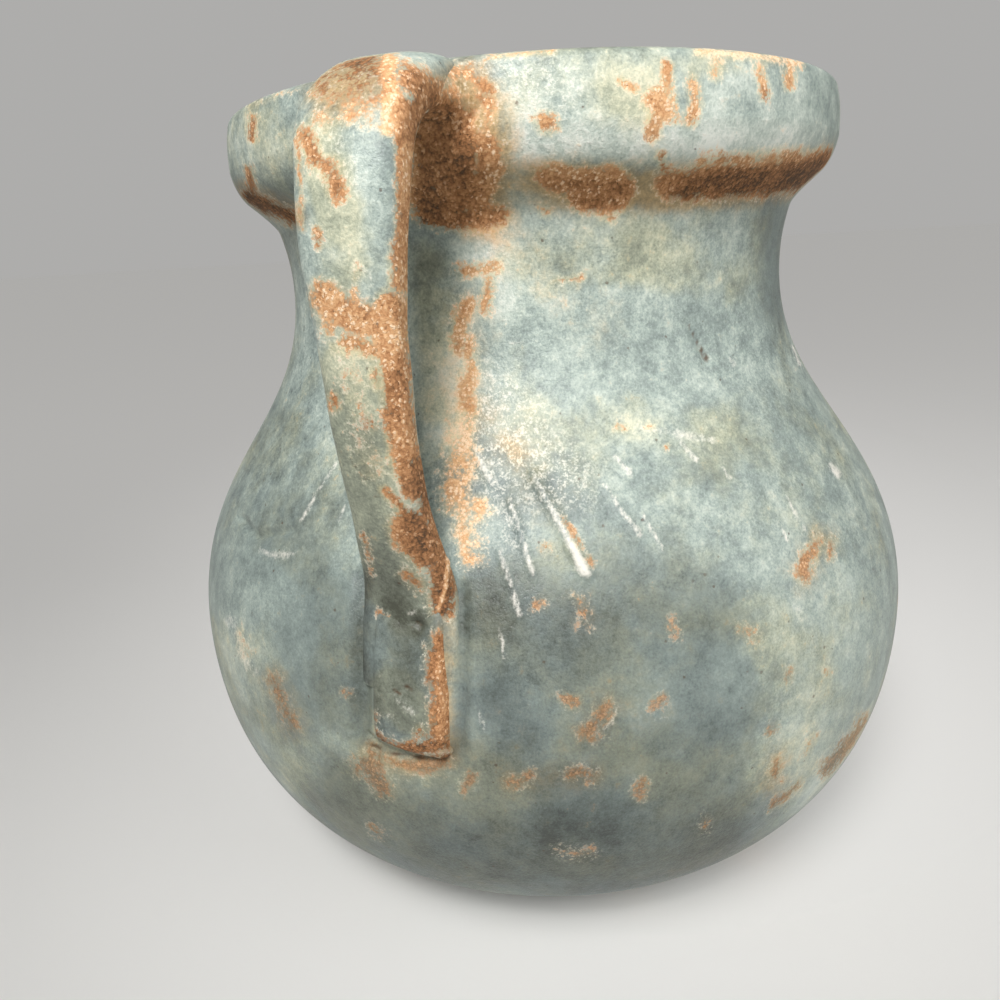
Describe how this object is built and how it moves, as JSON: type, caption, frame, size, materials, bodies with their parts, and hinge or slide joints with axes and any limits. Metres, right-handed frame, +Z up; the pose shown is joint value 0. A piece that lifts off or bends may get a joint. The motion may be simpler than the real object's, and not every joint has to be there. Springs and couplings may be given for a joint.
{
  "type": "pottery vase",
  "caption": "Wide-bellied pottery vase with a short waisted neck, a banded rim and one strap handle luted from the rim down to the belly; stands on a flat base.",
  "frame": {"origin": "centre of the flat underside that the vase stands on", "axes": "+Z up along the axis of the thrown vessel, +X from the axis towards the strap handle"},
  "size_m": [0.2583, 0.253, 0.2486],
  "materials": {
    "weathered_finish": "satin grey-green slip, mottled, worn through to orange clay in patches",
    "bare_clay": "matt orange-brown clay, coarse grain"
  },
  "bodies": {
    "root": {"bowl": "weathered_finish", "shoulder_and_neck": "weathered_finish", "rim_collar": "weathered_finish", "strap_handle": "weathered_finish", "handle_tail_pad": "weathered_finish", "handle_root_luting": "bare_clay"}
  },
  "joints": []
}
